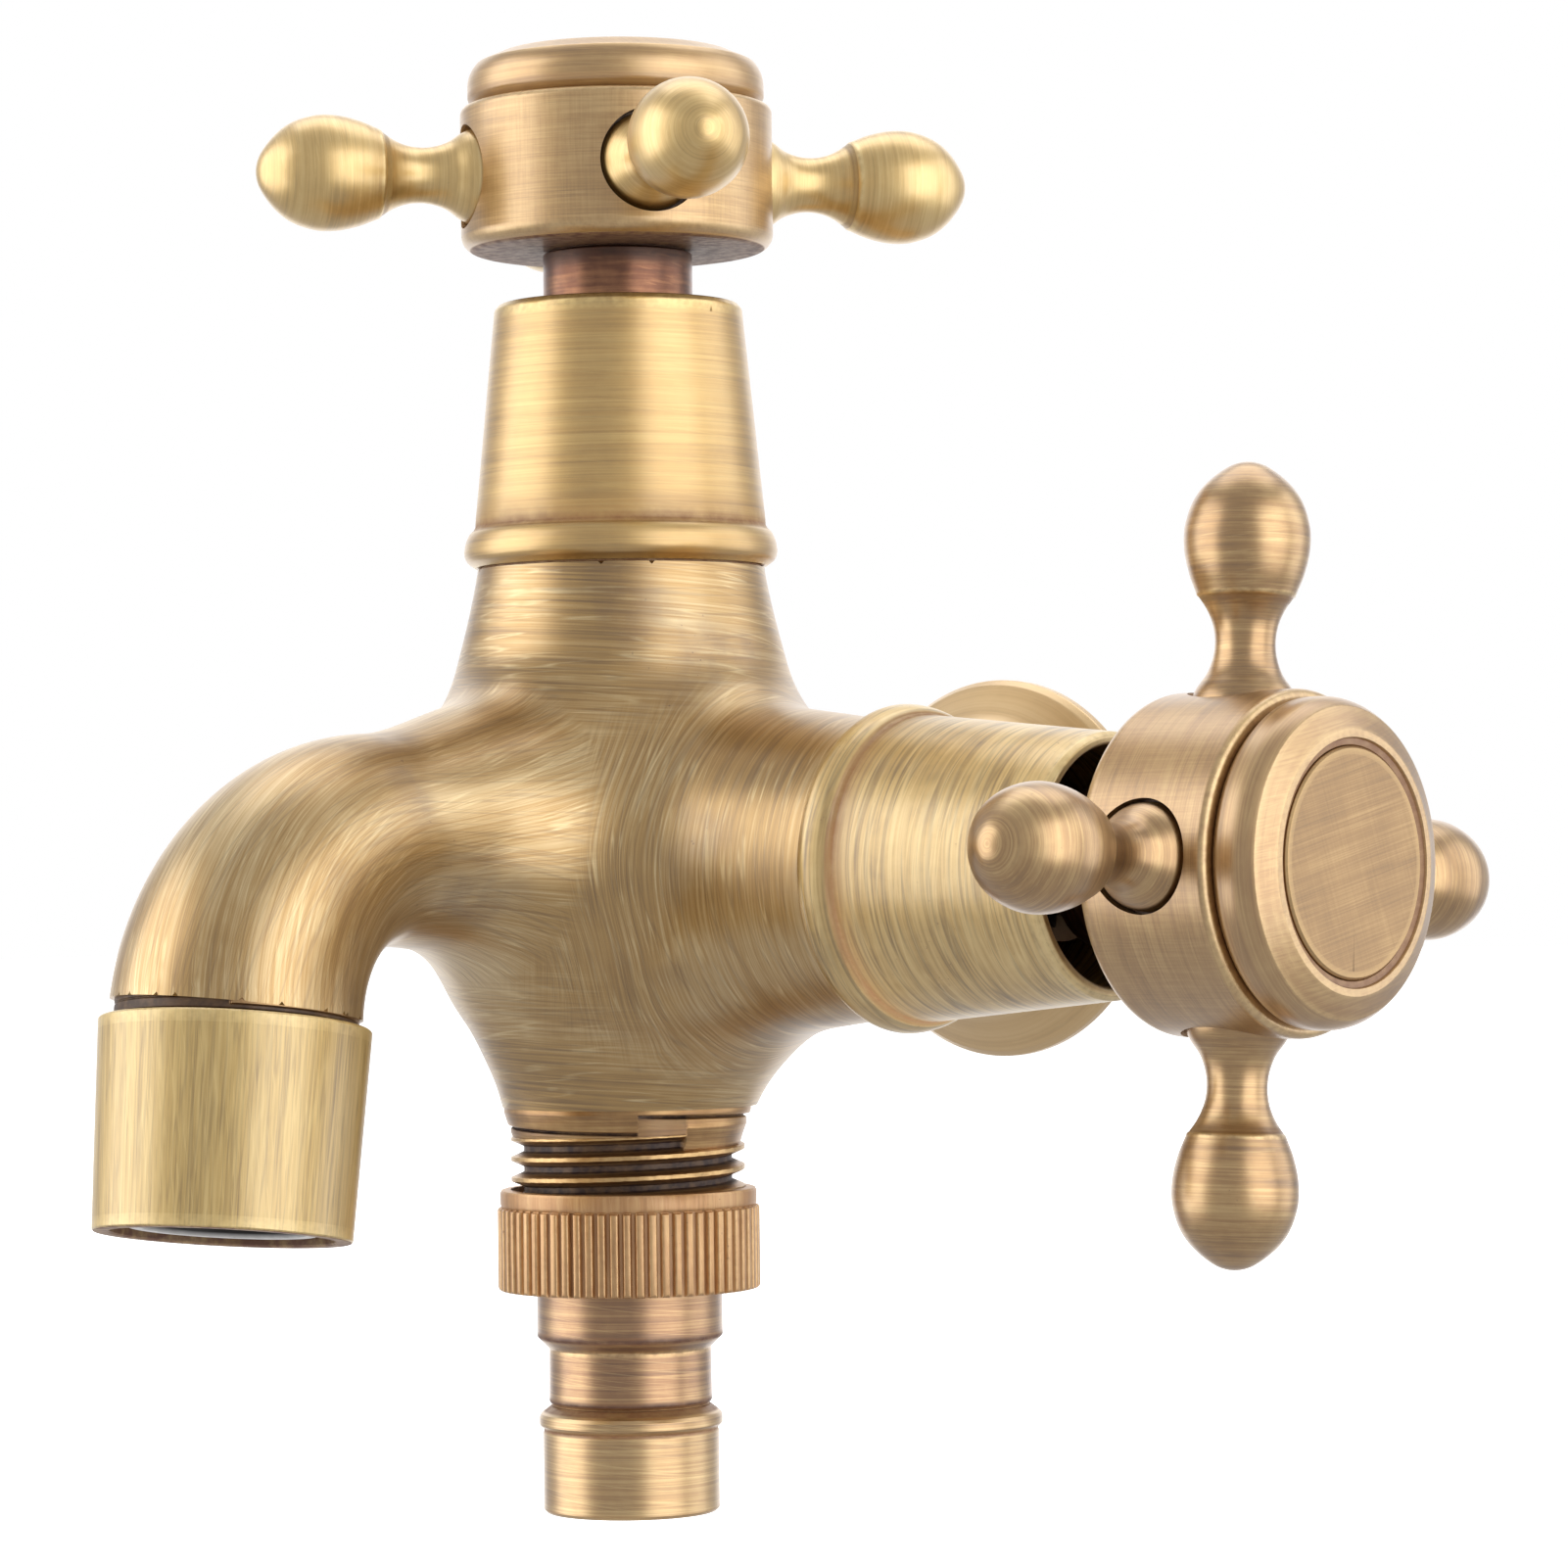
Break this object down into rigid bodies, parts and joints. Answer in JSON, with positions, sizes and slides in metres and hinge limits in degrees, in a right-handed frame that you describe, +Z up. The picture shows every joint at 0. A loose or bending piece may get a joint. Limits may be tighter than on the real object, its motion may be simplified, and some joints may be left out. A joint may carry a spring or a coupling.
{
  "type": "cross handle wall tap",
  "caption": "Wall bib tap in aged brass: a cross handle above opens the bent spout, a cross handle at the side opens the threaded hose outlet below.",
  "frame": {"origin": "where the inlet axis meets the wall: centre of the wall flange, on its back face", "axes": "+Z up, -Y out of the wall along the spout, +Y into the wall along the inlet thread, +X towards the side handle"},
  "size_m": [0.1072, 0.128, 0.1306],
  "materials": {
    "body_brass": "satin antique brass, brushed along the curves",
    "flange_brass": "satin antique brass, turned",
    "bonnet_brass": "satin antique brass, brushed around",
    "collar_brass": "satin antique brass, brushed lengthwise",
    "nut_brass": "coppery brass, knurled",
    "nozzle_brass": "coppery brass, turned",
    "valve_brass": "plain machined brass",
    "bush_copper": "dark copper patina",
    "hub_brass": "bronze toned satin brass, cross brushed",
    "cap_brass": "bronze toned satin brass",
    "disc_brass": "bronze toned brass, brushed one way",
    "spoke_brass": "bronze toned satin brass, turned",
    "white_plastic": "moulded plastic",
    "screen_steel": "fine steel mesh",
    "black_rubber": "soft rubber",
    "ceramic": "lapped ceramic",
    "steel": "stainless steel"
  },
  "bodies": {
    "tap_body": {"body_casting": "body_brass", "wall_flange": "flange_brass", "spout_collar": "collar_brass", "aerator_washer": "black_rubber", "aerator_housing": "white_plastic", "aerator_screen": "screen_steel", "upper_cartridge_housing": "valve_brass", "upper_fixed_disc": "ceramic", "upper_seat_seal": "black_rubber", "upper_flange_oring": "black_rubber", "upper_bonnet": "bonnet_brass", "side_cartridge_housing": "valve_brass", "side_fixed_disc": "ceramic", "side_seat_seal": "black_rubber", "side_flange_oring": "black_rubber", "side_bonnet": "bonnet_brass"},
    "upper_handle": {"upper_spindle": "valve_brass", "upper_rotating_disc": "ceramic", "upper_stem_orings": "black_rubber", "upper_circlip": "steel", "upper_stem_bush": "bush_copper", "upper_handle_hub": "hub_brass", "upper_handle_washer": "steel", "upper_handle_screw": "steel", "upper_handle_cap": "cap_brass", "upper_cap_disc": "disc_brass", "upper_spoke_1": "spoke_brass", "upper_spoke_2": "spoke_brass", "upper_spoke_3": "spoke_brass", "upper_spoke_4": "spoke_brass"},
    "side_handle": {"side_spindle": "valve_brass", "side_rotating_disc": "ceramic", "side_stem_orings": "black_rubber", "side_circlip": "steel", "side_stem_bush": "bush_copper", "side_handle_hub": "hub_brass", "side_handle_washer": "steel", "side_handle_screw": "steel", "side_handle_cap": "cap_brass", "side_cap_disc": "disc_brass", "side_spoke_1": "spoke_brass", "side_spoke_2": "spoke_brass", "side_spoke_3": "spoke_brass", "side_spoke_4": "spoke_brass"},
    "nozzle": {"hose_nozzle": "nozzle_brass", "nozzle_washer": "black_rubber"},
    "union_nut": {"hose_nut": "nut_brass"}
  },
  "joints": [
    {"name": "upper_handle_turn", "type": "hinge", "parent": "tap_body", "child": "upper_handle", "pos_m": [0, -0.055, 0.0272], "axis": [0, 0, 1], "range_deg": [0, 90]},
    {"name": "side_handle_turn", "type": "hinge", "parent": "tap_body", "child": "side_handle", "pos_m": [0.03185, -0.055, 0], "axis": [1, 0, 0], "range_deg": [0, 90]},
    {"name": "nozzle_slide", "type": "slide", "parent": "tap_body", "child": "nozzle", "axis": [0, 0, -1], "range_m": [0, 0.005]},
    {"name": "nut_turn", "type": "hinge", "parent": "nozzle", "child": "union_nut", "pos_m": [0, -0.055, -0.0332], "axis": [0, 0, -1], "range_deg": [0, 992.2]}
  ],
  "couplings": [
    {"joint": "nut_turn", "follows": "nozzle_slide", "rad_per_m": 3463.1}
  ]
}
